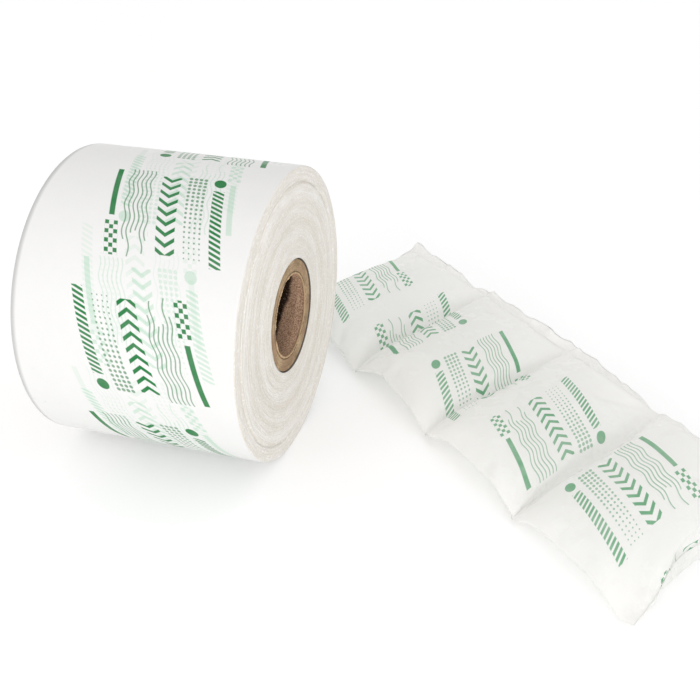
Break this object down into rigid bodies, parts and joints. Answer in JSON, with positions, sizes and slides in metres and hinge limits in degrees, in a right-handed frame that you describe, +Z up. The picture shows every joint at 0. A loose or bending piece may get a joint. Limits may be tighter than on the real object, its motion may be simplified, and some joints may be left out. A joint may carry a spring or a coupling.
{
  "type": "air pillow roll",
  "caption": "Roll of printed air pillow film wound on a thick paperboard core, with a strip of the same film blown up into cushioning pillows lying beside it.",
  "frame": {"origin": "on the floor, at the middle of the small flat that the roll rests on, under the middle of the roll's width", "axes": "+X along the core's bore towards the end that shows in the picture, +Y away from the viewer, +Z up"},
  "size_m": [0.6477, 0.5565, 0.2685],
  "materials": {
    "paperboard": "matte",
    "wound_film": "satin",
    "pillow_film": "satin"
  },
  "bodies": {
    "root": {"core_tube": "paperboard", "film_roll": "wound_film", "pillow_strip": "pillow_film"}
  },
  "joints": []
}
